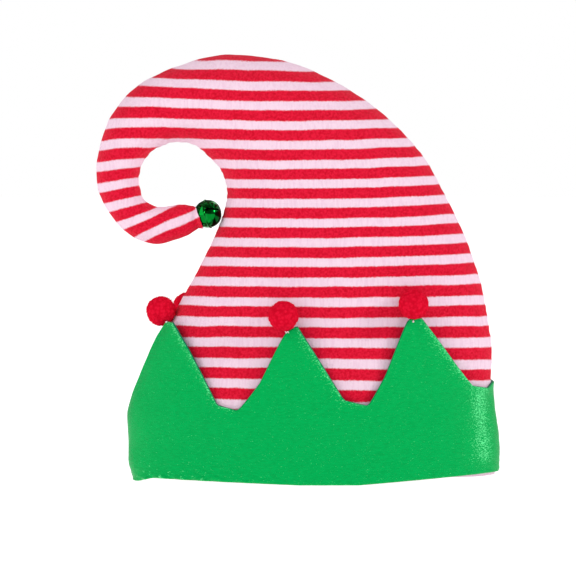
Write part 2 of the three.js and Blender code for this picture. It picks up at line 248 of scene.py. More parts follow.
@dataclass(frozen=True)
class PlushFinish:
    """Short pile plush with red bands between narrower pale ones."""

    period: float = 15.56
    red_centre: float = 72.1
    red_share: float = 0.56
    edge_blur: float = 0.045
    fuzz_height: float = 1.5
    drift_height: float = 1.6
    red: tuple[float, ...] = paint(226, 24, 57)
    deep_red: tuple[float, ...] = paint(201, 5, 37)
    pale: tuple[float, ...] = paint(241, 211, 227)
    deep_pale: tuple[float, ...] = paint(236, 201, 220)
    back_red: tuple[float, ...] = paint(236, 120, 138)
    pile_scale: float = 1900.0
    clump_scale: float = 560.0
    rib_scale: float = 620.0
    fuzz_scale: float = 900.0
    drift_scale: float = 38.0

    def material(self) -> bpy.types.Material:
        """Builds the plush material."""
        shader = Shader("striped_plush")
        fuzz = shader.sum_of("SUBTRACT", shader.grain(self.fuzz_scale, 2), 0.5)
        drift = shader.sum_of("SUBTRACT", shader.grain(self.drift_scale, 1), 0.5)
        height = shader.attribute("stripe_mm")
        height = shader.sum_of("ADD", height, shader.sum_of("MULTIPLY", fuzz, self.fuzz_height))
        height = shader.sum_of("ADD", height, shader.sum_of("MULTIPLY", drift, self.drift_height))
        bands = shader.sum_of("DIVIDE", shader.sum_of("SUBTRACT", height, self.red_centre), self.period)
        place = shader.sum_of("FRACT", shader.sum_of("ADD", bands, 100.5))
        distance = shader.sum_of("ABSOLUTE", shader.sum_of("SUBTRACT", place, 0.5))
        edge = self.red_share / 2
        pale_share = shader.ease(distance, edge - self.edge_blur, edge + self.edge_blur)
        pile = shader.grain(self.pile_scale, 3, roughness=0.7)
        clumps = shader.grain(self.clump_scale, 2)
        mottle = shader.sum_of("MULTIPLY", pile, clumps)
        red = shader.mixed(shader.ease(mottle, 0.14, 0.34), self.deep_red, self.red)
        ribs = shader.grain(self.rib_scale, 2, shader.stretched((1.0, 1.0, 0.16)))
        pale = shader.mixed(shader.ease(ribs, 0.3, 0.6), self.deep_pale, self.pale)
        face = shader.mixed(pale_share, red, pale)
        knit = shader.mixed(pale_share, self.back_red, self.pale)
        colour = shader.mixed(shader.attribute("inner_side"), face, knit)
        bumps = shader.relief(clumps, 0.0006)
        bumps = shader.relief(pile, 0.0005, bumps)
        return shader.finish(
            Base_Color=colour,
            Roughness=0.95,
            Sheen_Weight=0.08,
            Sheen_Roughness=0.5,
            Specular_IOR_Level=0.05,
            Normal=bumps,
        )


@dataclass(frozen=True)
class VelourFinish:
    """Green velour with fine level streaks in its nap, light green painted highlights for the glints and
    sheen of its nap, and painted shade on the inner side of its fold.
    """

    green: tuple[float, ...] = paint(0, 168, 81)
    deep_green: tuple[float, ...] = paint(0, 156, 73)
    # painted highlight: the light green of glints and sheen on the nap
    glint_green: tuple[float, ...] = paint(104, 236, 154)
    # painted shade: the darker teal for the inner side of the fold and the gap behind the top edge
    gap_shade_green: tuple[float, ...] = paint(0, 104, 78)
    sheen_tint: tuple[float, ...] = paint(60, 255, 140)
    streak_scale: float = 240.0
    sparkle_scale: float = 640.0
    # how far the painted highlight share lifts the glint noise
    sheen_paint_strength: float = 0.21

    def material(self) -> bpy.types.Material:
        """Builds the velour material."""
        shader = Shader("green_velour")
        streaks = shader.grain(self.streak_scale, 4, shader.stretched((1.0, 1.0, 5.5)), 0.6)
        sparkle = shader.grain(self.sparkle_scale, 3, shader.stretched((1.0, 1.0, 2.4)), 0.75)
        ground = shader.mixed(shader.ease(streaks, 0.36, 0.6), self.deep_green, self.green)
        # painted highlights: glint noise plus the painted highlight share turns patches light green
        painted_sheen = shader.sum_of("MULTIPLY", shader.attribute("painted_sheen"), self.sheen_paint_strength)
        lit = shader.sum_of("ADD", sparkle, painted_sheen)
        face = shader.mixed(shader.ease(lit, 0.65, 0.73), ground, self.glint_green)
        # painted shade on the inner side of the fold and over the top edge's inner half
        colour = shader.mixed(shader.attribute("gap_shade"), face, self.gap_shade_green)
        bumps = shader.relief(streaks, 0.0003)
        bumps = shader.relief(sparkle, 0.0005, bumps)
        return shader.finish(
            Base_Color=colour,
            Roughness=0.38,
            Sheen_Weight=0.05,
            Sheen_Roughness=0.3,
            Sheen_Tint=self.sheen_tint,
            Specular_IOR_Level=0.38,
            Specular_Tint=self.sheen_tint,
            Normal=bumps,
        )


@dataclass(frozen=True)
class YarnFinish:
    """Cut yarn, with painted shade between its tufts."""

    red: tuple[float, ...] = paint(226, 20, 52)
    # painted shade in the pits between tufts, and the darker strands among the fibres
    deep_red: tuple[float, ...] = paint(204, 8, 38)

    def material(self) -> bpy.types.Material:
        """Builds the yarn material."""
        shader = Shader("red_yarn")
        fibres = shader.grain(1700, 3, roughness=0.7)
        # painted shade: the pits between tufts take the deep red, the crests the full red
        tufts = shader.ease(shader.attribute("tuft"), 0.0, 0.75)
        light = shader.sum_of("MULTIPLY", tufts, shader.ease(fibres, 0.3, 0.6, 0.55, 1.0))
        colour = shader.mixed(light, self.deep_red, self.red)
        return shader.finish(
            Base_Color=colour,
            Roughness=1.0,
            Specular_IOR_Level=0.02,
            Normal=shader.relief(fibres, 0.0005),
        )


@dataclass(frozen=True)
class BellFinish:
    """Glossy green metal with faint worn marks."""

    green: tuple[float, ...] = paint(4, 118, 38)
    worn_green: tuple[float, ...] = paint(14, 134, 52)

    def material(self) -> bpy.types.Material:
        """Builds the bell's metal."""
        shader = Shader("green_bell")
        marks = shader.grain(380, 3, shader.stretched((1.0, 1.0, 0.35)))
        colour = shader.mixed(shader.ease(marks, 0.5, 0.72), self.green, self.worn_green)
        dents = shader.grain(160, 2)
        return shader.finish(
            Base_Color=colour,
            Metallic=1.0,
            Roughness=shader.ease(marks, 0.3, 0.8, 0.1, 0.22),
            Normal=shader.relief(dents, 0.0002),
        )


@dataclass(frozen=True)
class SteelFinish:
    """Dull steel for the pellet inside the bell."""

    steel: tuple[float, ...] = paint(140, 143, 146)
    dark_steel: tuple[float, ...] = paint(96, 98, 102)

    def material(self) -> bpy.types.Material:
        """Builds the pellet's steel."""
        shader = Shader("steel")
        marks = shader.grain(700, 3)
        colour = shader.mixed(shader.ease(marks, 0.4, 0.65), self.dark_steel, self.steel)
        return shader.finish(
            Base_Color=colour,
            Metallic=1.0,
            Roughness=0.4,
            Normal=shader.relief(marks, 0.0001),
        )


@dataclass(frozen=True)
class ThreadFinish:
    """Sewing thread with a fine twist."""

    light: tuple[float, ...] = paint(244, 238, 240)
    dark: tuple[float, ...] = paint(205, 190, 196)

    def material(self) -> bpy.types.Material:
        """Builds the thread's material."""
        shader = Shader("white_thread")
        twist = shader.grain(2600, 2)
        colour = shader.mixed(shader.ease(twist, 0.35, 0.65), self.dark, self.light)
        return shader.finish(
            Base_Color=colour,
            Roughness=0.8,
            Specular_IOR_Level=0.2,
            Normal=shader.relief(twist, 0.0002),
        )


@dataclass(frozen=True)
class Section:
    """One cross section of the crown, in shares of its sizes, and its stripes' tilt in degrees."""

    inner_x: float
    inner_z: float
    outer_x: float
    outer_z: float
    depth: float
    tilt: float = 0.0


@dataclass(frozen=True)
class CutSection:
    """A cross section at any row, worked out in millimetres."""

    centre: Vector
    across: Vector
    half_width: float
    half_depth: float


SECTIONS: tuple[Section, ...] = (
    Section(-0.5, 0, 0.5, 0, 1),
    Section(-0.5, 0.085, 0.5, 0.085, 1.02),
    Section(-0.503, 0.166, 0.492, 0.166, 1.04),
    Section(-0.462, 0.274, 0.489, 0.274, 1.05),
    Section(-0.393, 0.38, 0.481, 0.38, 1.05),
    Section(-0.334, 0.474, 0.455, 0.479, 1.03),
    Section(-0.284, 0.56, 0.42, 0.572, 1),
    Section(-0.248, 0.633, 0.364, 0.673, 0.95),
    Section(-0.239, 0.685, 0.301, 0.767, 0.9),
    Section(-0.257, 0.729, 0.203, 0.853, 0.84),
    Section(-0.292, 0.762, 0.088, 0.922, 0.78),
    Section(-0.328, 0.787, -0.036, 0.973, 0.72),
    Section(-0.364, 0.795, -0.155, 0.994, 0.67),
    Section(-0.397, 0.794, -0.286, 0.996, 0.62),
    Section(-0.427, 0.785, -0.41, 0.9645, 0.57, 1),
    Section(-0.458, 0.769, -0.502, 0.914, 0.52, 4),
    Section(-0.479, 0.741, -0.574, 0.835, 0.47, 7),
    Section(-0.486, 0.706, -0.601, 0.743, 0.42, 10),
    Section(-0.475, 0.668, -0.59, 0.668, 0.39, 14),
    Section(-0.444, 0.647, -0.523, 0.592, 0.36, 19),
    Section(-0.397, 0.645, -0.433, 0.5575, 0.33, 24),
    Section(-0.355, 0.648, -0.357, 0.569, 0.28, 27),
    Section(-0.325, 0.643, -0.308, 0.591, 0.2, 28),
)


# How far the stripes sag from level: a row for each power of the share across, a number for each
# power of the share up, in millimetres.
STRIPE_SAG: tuple[tuple[float, ...], ...] = (
    (-0.51, -2.54, -6.43, 4.94),
    (0.13, 2.33, -2.5),
    (1.68, 6.87),
    (0.86,),
)


def curve_value(
    values: tuple[float, float, float, float],
    gaps: tuple[float, float, float],
    share: float,
) -> float:
    """Evaluates one coordinate of a smooth curve through points between the middle two.

    Args:
        values: The coordinate at four points in a row.
        gaps: The curve's steps between those points.
        share: The share of the way between the middle two.

    Returns:
        The coordinate there.
    """
    before, start, end, after = values
    first, middle, last = gaps
    leave = (start - before) / first - (end - before) / (first + middle) + (end - start) / middle
    arrive = (end - start) / middle - (after - start) / (middle + last) + (after - end) / last
    leave *= middle
    arrive *= middle
    square = -3 * start + 3 * end - 2 * leave - arrive
    cube = 2 * start - 2 * end + leave + arrive
    return start + leave * share + square * share**2 + cube * share**3


def contour_point(points: list[Vector], row: float) -> Vector:
    """Follows a smooth contour through a point for each section.

    Args:
        points: The contour's points.
        row: The section's number, whole or between.

    Returns:
        The point on the contour.
    """
    index = min(int(row), len(points) - 2)
    start, end = points[index], points[index + 1]
    before = points[index - 1] if index > 0 else start * 2 - end
    after = points[index + 2] if index + 2 < len(points) else end * 2 - start
    gaps = tuple(
        math.sqrt((second - first).length)
        for first, second in ((before, start), (start, end), (end, after))
    )
    return Vector(
        curve_value((before[axis], start[axis], end[axis], after[axis]), gaps, row - index)
        for axis in range(3)
    )


@dataclass
class HatForm:
    """The crown's form, which the crown, the cuff and the tip stitches all follow. Millimetres."""

    hem_width: float = 290.0
    hem_depth: float = 90.0
    height: float = 334.0
    cuff_wall: float = 2.5
    cuff_clearance: float = 1.3
    lift_left: float = 4.2
    lift_right: float = 8.6
    lift_reach: float = 90.0
    level_share: float = 0.16
    lowest_x: float = 12.0
    corner_left: float = 2.8
    corner_right: float = 1.3
    corner_tuck: float = 3.2
    corner_height: float = 16.0
    lift_end: float = 0.9
    body_rows: int = 5
    samples: int = 40
    sag_half_width: float = 150.0
    sag_half_height: float = 165.0
    hump: float = 2.5
    hump_row: float = 20.0
    hump_reach: float = 0.9
    inner: list[Vector] = field(default_factory=list)
    outer: list[Vector] = field(default_factory=list)
    stripe_steps: list[float] = field(default_factory=list)
    body_heights: list[float] = field(default_factory=list)
    cuts: dict[float, CutSection] = field(default_factory=dict)
    shift: Vector = field(default_factory=Vector)

    def __post_init__(self) -> None:
        """Works out the contours, the stripes along them and where the hat stands in the frame."""
        offset = self.cuff_wall + self.cuff_clearance
        self.width = self.hem_width - 2 * offset
        self.depth = self.hem_depth - 2 * offset
        self.last = len(SECTIONS) - 1
        for row in SECTIONS:
            thickness = row.depth * self.depth
            self.inner.append(Vector((row.inner_x * self.width, thickness, row.inner_z * self.height)))
            self.outer.append(Vector((row.outer_x * self.width, thickness, row.outer_z * self.height)))
        low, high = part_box("crown")
        self.shift = Vector((high[0] / MM - self.width / 2, (low[1] + high[1]) / 2 / MM, 0))
        step = 1 / self.samples
        self.stripe_steps.append(0.0)
        for index in range(1, self.last * self.samples + 1):
            start, end = self.section((index - 1) * step), self.section(index * step)
            way = self.stripe_way((index - 0.5) * step)
            self.stripe_steps.append(self.stripe_steps[-1] + (end.centre - start.centre).dot(way))
        for index in range(self.body_rows * self.samples + 1):
            self.body_heights.append(self.section(index * step).centre.z)

    def section(self, row: float) -> CutSection:
        """Cuts the crown at a row."""
        if row not in self.cuts:
            inner = contour_point(self.inner, row)
            outer = contour_point(self.outer, row)
            half_depth = inner.y / 2
            inner.y = 0
            outer.y = 0
            across = outer - inner
            centre = (inner + outer) / 2
            self.cuts[row] = CutSection(centre, across.normalized(), across.length / 2, half_depth)
        return self.cuts[row]

    def stripe_way(self, row: float) -> Vector:
        """Returns the direction across the stripes at a row."""
        index = min(int(row), self.last - 1)
        angle = math.radians(blend(SECTIONS[index].tilt, SECTIONS[index + 1].tilt, row - index))
        return Vector((-math.sin(angle), 0, math.cos(angle)))

    def stripe_height(self, row: float, point: Vector, section: CutSection) -> float:
        """Works out how far up the striped cloth a point lies.

        Args:
            row: The point's row.
            point: The point, in the hat's own millimetres.
            section: The cross section at that row.

        Returns:
            The cloth's own height in millimetres.
        """
        place = min(row * self.samples, len(self.stripe_steps) - 1.001)
        index = int(place)
        base = blend(self.stripe_steps[index], self.stripe_steps[index + 1], place - index)
        offset = point - section.centre
        drift = self.stripe_drift(point + self.shift)
        hump = self.hump * math.exp(-(((row - self.hump_row) / self.hump_reach) ** 2))
        return base + offset.dot(self.stripe_way(row)) - drift - hump

    def stripe_drift(self, point: Vector) -> float:
        """Returns how far the cloth sags from level stripes at a point, in millimetres."""
        across = point.x / self.sag_half_width
        up = (point.z - self.sag_half_height) / self.sag_half_height
        total = 0.0
        for power_across, powers_up in enumerate(STRIPE_SAG):
            for power_up, amount in enumerate(powers_up):
                total += amount * across**power_across * up**power_up
        return total

    def around(self, section: CutSection, turn: float, offset: float) -> Vector:
        """Places a point on a section, moved out along the section's normal.

        Args:
            section: The cross section.
            turn: The share of a turn, from the inner side over the near side.
            offset: How far out from the crown's face, in millimetres.

        Returns:
            The point in the hat's own millimetres.
        """
        angle = turn * FULL_TURN
        cos, sin = math.cos(angle), math.sin(angle)
        normal = Vector((-cos * section.half_depth, -sin * section.half_width)).normalized()
        point = section.centre + section.across * (-cos * section.half_width + normal.x * offset)
        point.y += -sin * section.half_depth + normal.y * offset
        return point

    def row_at_height(self, height: float) -> float:
        """Finds the row of the crown's level part at a height."""
        if height <= 0:
            return 0.0
        index = bisect_left(self.body_heights, height)
        below, above = self.body_heights[index - 1], self.body_heights[index]
        return (index - 1 + (height - below) / (above - below)) / self.samples

    def hem_shift(self, point: Vector) -> Vector:
        """Returns how far the hem lifts and draws in a point near either end."""
        along = abs(point.x - self.lowest_x) / (self.hem_width / 2)
        share = min(1.0, max(0.0, (along - self.level_share) / (self.lift_end - self.level_share)))
        left = point.x < self.lowest_x
        most = self.lift_left if left else self.lift_right
        drop = (self.corner_left if left else self.corner_right) * smooth(along, 0.95, 1.06)
        low = smooth(self.corner_height - point.z, 0, self.corner_height)
        inward = self.corner_tuck * smooth(along, 0.9, 1.08) * low if left else 0.0
        return Vector((inward, 0, (most * share - drop) * max(0.0, 1 - point.z / self.lift_reach)))

    def to_frame(self, point: Vector) -> Vector:
        """Moves a point from the hat's own millimetres into the frame's metres."""
        return (point + self.shift) * MM


def wrapped_grid(
    columns: int,
    rows: int,
    place: Callable[[float, float], tuple[Vector, tuple[float, ...]]],
    layers: tuple[str, ...],
) -> bmesh.types.BMesh:
    """Makes a tube from a grid whose two long edges meet.

    Args:
        columns: Faces round the tube.
        rows: Faces along it.
        place: Takes the shares round and along and returns a point and the layers' numbers.
        layers: Names of the numbers to keep at each point.

    Returns:
        The new mesh, still open at both ends.
    """
    mesh = bmesh.new()
    keys = [mesh.verts.layers.float.new(name) for name in layers]
    bmesh.ops.create_grid(mesh, x_segments=columns, y_segments=rows, size=0.5)
    for vert in mesh.verts:
        point, numbers = place(vert.co.x + 0.5, vert.co.y + 0.5)
        vert.co = point
        for key, number in zip(keys, numbers):
            vert[key] = number
    bmesh.ops.remove_doubles(mesh, verts=mesh.verts, dist=1e-6)
    return mesh


def to_piece(
    mesh: bmesh.types.BMesh,
    name: str,
    material: bpy.types.Material,
) -> bpy.types.Object:
    """Turns a mesh into a piece of the object that rides on its one body.

    Args:
        mesh: The finished mesh, in metres. It is freed.
        name: The piece's name.
        material: Its finish.

    Returns:
        The new piece.
    """
    for face in mesh.faces:
        face.smooth = True
    data = bpy.data.meshes.new(name)
    mesh.to_mesh(data)
    mesh.free()
    data.materials.append(material)
    piece = bpy.data.objects.new(name, data)
    bpy.context.scene.collection.objects.link(piece)
    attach(piece, "root")
    LOG.info("%s: %d faces", name, len(data.polygons))
    return piece


RIDGE_PROFILE: tuple[tuple[float, float], ...] = (
    (0, -0.75),
    (0.65, -0.6),
    (0.9, 0),
    (0.65, 0.6),
    (0, 0.75),
)


@dataclass
class Bell:
    """The jingle bell at the end of the curl, its loop and its pellet. Millimetres."""

    diameter: float = 23.2
    length: float = 20.6
    wall: float = 0.8
    ridge: float = 0.7
    slit: float = 1.5
    slit_start: float = 1.4
    edge_round: float = 0.14
    fullness: float = 0.85
    rise: float = 13.0
    turn: float = 14.0
    spin: float = 71.0
    pellet_diameter: float = 6.0
    gap: float = 0.4
    nudge: tuple[float, float, float] = (1.1, 0, -0.7)
    loop_radius: float = 1.8
    loop_wire: float = 0.6
    segments: int = 72

    def __post_init__(self) -> None:
        """Works out the bell's axis and centre from the pellet that lies in it."""
        rise, turn = math.radians(self.rise), math.radians(self.turn)
        level, upward = math.cos(turn) * math.cos(rise), math.cos(turn) * math.sin(rise)
        self.axis = Vector((level, -math.sin(turn), upward))
        low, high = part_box("bell_pellet")
        self.pellet = (Vector(low) + Vector(high)) / 2 / MM + Vector(self.nudge)
        inner_radius = self.diameter / 2 - self.ridge - self.wall
        inner_half = self.length / 2 - self.wall
        sideways = math.sqrt(1 - self.axis.z**2)
        downward = 1 / math.hypot(self.axis.z / inner_half, sideways / inner_radius)
        self.centre = self.pellet + Vector((0, 0, downward - self.pellet_diameter / 2 - self.gap))

    def outline(self, offset: float, ridged: bool, steps: int = 22) -> list[Vector]:
        """Draws half of the bell's outline from its back pole to its front pole.

        Args:
            offset: How much larger than the bell's outside.
            ridged: Whether the ridge between its two shells is on it.
            steps: Points from a pole to the ridge.

        Returns:
            The outline's points, with the axis along Z.
        """
        radius = self.diameter / 2 - self.ridge + offset
        points = []
        for step in range(2 * steps + 1):
            angle = (step / steps - 1) * math.pi / 2
            if step == steps and ridged:
                for out, along in RIDGE_PROFILE:
                    points.append(Vector((radius + out * self.ridge, 0, along * self.ridge)))
                continue
            reach = radius * max(0.0, math.cos(angle)) ** self.fullness
            points.append(Vector((reach, 0, (self.length / 2 + offset) * math.sin(angle))))
        return points

    def spun(self, outline: list[Vector]) -> bmesh.types.BMesh:
        """Spins an outline round Z into a closed form."""
        mesh = bmesh.new()
        verts = [mesh.verts.new(point) for point in outline]
        edges = [mesh.edges.new(pair) for pair in zip(verts, verts[1:])]
        bmesh.ops.spin(
            mesh,
            geom=verts + edges,
            axis=(0, 0, 1),
            cent=(0, 0, 0),
            angle=FULL_TURN,
            steps=self.segments,
            use_merge=True,
        )
        bmesh.ops.remove_doubles(mesh, verts=mesh.verts, dist=1e-4)
        bmesh.ops.recalc_face_normals(mesh, faces=mesh.faces)
        return mesh

    def cutter(self) -> bpy.types.Object:
        """Builds the cross of slits with round ends that is cut out of the front shell."""
        mesh = bmesh.new()
        start = self.ridge + self.slit_start
        length = self.length / 2 + 1 - start
        reach = self.diameter + 2
        for quarter in (0, 1):
            spin = Matrix.Rotation(quarter * math.pi / 2, 4, "Z")
            middle = spin @ Matrix.Translation((0, 0, start + length / 2))
            box = middle @ Matrix.Diagonal((reach, self.slit, length, 1))
            bmesh.ops.create_cube(mesh, size=1, matrix=box)
            end = spin @ Matrix.Translation((0, 0, start + self.slit / 2))
            bmesh.ops.create_cone(
                mesh,
                cap_ends=True,
                segments=24,
                radius1=self.slit,
                radius2=self.slit,
                depth=reach,
                matrix=end @ Matrix.Rotation(math.pi / 2, 4, "Y"),
            )
        data = bpy.data.meshes.new("bell_cutter")
        mesh.to_mesh(data)
        mesh.free()
        tool = bpy.data.objects.new("bell_cutter", data)
        bpy.context.scene.collection.objects.link(tool)
        return tool

    def placed(self, mesh: bmesh.types.BMesh) -> None:
        """Turns a mesh from the bell's own frame into the object's, in metres."""
        side = Vector((0, 0, 1)).cross(self.axis).normalized()
        axes = Matrix((side, self.axis.cross(side), self.axis)).transposed().to_4x4()
        spin = Matrix.Rotation(math.radians(self.spin), 4, "Z")
        place = Matrix.Scale(MM, 4) @ Matrix.Translation(self.centre) @ axes @ spin
        bmesh.ops.transform(mesh, matrix=place, verts=mesh.verts)

    def build_shell(self, metal: bpy.types.Material) -> bpy.types.Object:
        """Builds the slit shell with its ridge and loop."""
        outer = self.outline(0, True)
        inner = list(reversed(self.outline(-self.wall, False)))
        mesh = self.spun(outer)
        hollow = self.spun(inner)
        bmesh.ops.reverse_faces(hollow, faces=hollow.faces)
        joined = bpy.data.meshes.new("bell_hollow")
        hollow.to_mesh(joined)
        hollow.free()
        mesh.from_mesh(joined)
        data = bpy.data.meshes.new("bell_work")
        mesh.to_mesh(data)
        mesh.free()
        work = bpy.data.objects.new("bell_work", data)
        bpy.context.scene.collection.objects.link(work)
        tool = self.cutter()
        cut = work.modifiers.new("slits", "BOOLEAN")
        cut.operation = "DIFFERENCE"
        cut.solver = "EXACT"
        cut.use_self = True
        cut.object = tool
        shown = work.evaluated_get(bpy.context.evaluated_depsgraph_get()).to_mesh()
        mesh = bmesh.new()
        mesh.from_mesh(shown)
        for spare in (work, tool):
            bpy.data.objects.remove(spare)
        sharp = []
        for edge in mesh.edges:
            if edge.is_manifold and edge.calc_face_angle(0) > CORNER_ANGLE:
                sharp.append(edge)
        bmesh.ops.bevel(
            mesh,
            geom=sharp,
            offset=self.edge_round,
            segments=2,
            profile=0.5,
            affect="EDGES",
            offset_type="OFFSET",
            material=-1,
        )
        loop = Matrix.Translation((0, 0, -self.length / 2 - self.loop_radius + self.loop_wire))
        self.add_ring(mesh, loop @ Matrix.Rotation(math.pi / 2, 4, "X"))
        self.placed(mesh)
        shell = to_piece(mesh, "bell_shell", metal)
        shell.data.set_sharp_from_angle(angle=CREASE_ANGLE)
        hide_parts("bell")
        return shell

    def add_ring(self, mesh: bmesh.types.BMesh, place: Matrix) -> None:
        """Adds the wire loop to a mesh."""
        ring = bmesh.ops.create_circle(mesh, segments=14, radius=self.loop_wire)["verts"]
        turn = Matrix.Translation((self.loop_radius, 0, 0)) @ Matrix.Rotation(math.pi / 2, 4, "X")
        bmesh.ops.transform(mesh, matrix=place @ turn, verts=ring)
        edges = list({edge for vert in ring for edge in vert.link_edges})
        axis = (place.to_3x3() @ Vector((0, 0, 1))).normalized()
        bmesh.ops.spin(
            mesh,
            geom=ring + edges,
            axis=axis,
            cent=place.to_translation(),
            angle=FULL_TURN,
            steps=32,
            use_merge=True,
        )
        bmesh.ops.remove_doubles(mesh, verts=mesh.verts, dist=1e-4)

    def build_pellet(self, metal: bpy.types.Material) -> bpy.types.Object:
        """Builds the pellet, slightly out of round."""
        mesh = bmesh.new()
        bmesh.ops.create_icosphere(mesh, subdivisions=4, radius=self.pellet_diameter / 2)
        for vert in mesh.verts:
            vert.co *= 1 + 0.015 * noise.noise(vert.co * 0.8)
            vert.co = (vert.co + self.pellet) * MM
        pellet = to_piece(mesh, "pellet", metal)
        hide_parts("bell_pellet")
        return pellet

    def pressed_out(self, point: Vector) -> Vector:
        """Moves a point of the crown's tip out of the room that the bell takes.

        Args:
            point: A point in the frame's millimetres.

        Returns:
            The same point, or one on the face of the dent.
        """
        offset = point - self.centre
        along = offset.dot(self.axis)
        sideways = offset - self.axis * along
        room_radius = self.diameter / 2 + self.gap
        room_half = self.length / 2 + self.gap
        reach = math.hypot(sideways.length / room_radius, along / room_half)
        return point if reach >= 1 or reach == 0 else self.centre + offset / reach


@dataclass(frozen=True)
class Fullness:
    """A soft swelling of the crown's outer side, or a hollow in it. Rows and millimetres."""

    row: float
    reach: float
    amount: float


FULLNESS: tuple[Fullness, ...] = (
    Fullness(3.3, 0.5, 1.8),
    Fullness(7.8, 1.2, -2.0),
    Fullness(13.6, 0.6, -1.2),
    Fullness(16.3, 0.5, -0.9),
    Fullness(19.4, 0.8, 1.8),
    Fullness(21.5, 0.6, 1.0),
)


